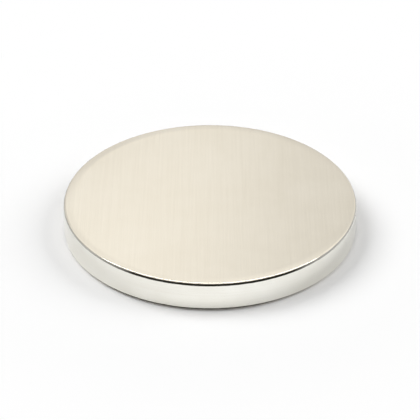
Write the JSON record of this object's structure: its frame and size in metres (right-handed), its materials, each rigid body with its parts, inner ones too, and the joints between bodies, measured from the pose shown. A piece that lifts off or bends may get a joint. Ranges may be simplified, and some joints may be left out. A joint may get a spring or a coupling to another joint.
{
  "type": "disc magnet",
  "caption": "Thin round permanent magnet, nickel plated, with a flat pole face on each side and a straight rim with rounded edges.",
  "frame": {"origin": "centre of the lower pole face, which is the face that the disc lies on", "axes": "+Z along the disc's axis, from the lower pole face to the upper one; X and Y lie in the lower pole face, and the disc is the same all round"},
  "size_m": [0.028, 0.028, 0.003],
  "materials": {
    "nickel_plate": "gloss"
  },
  "bodies": {
    "root": {"disc_magnet": "nickel_plate"}
  },
  "joints": []
}
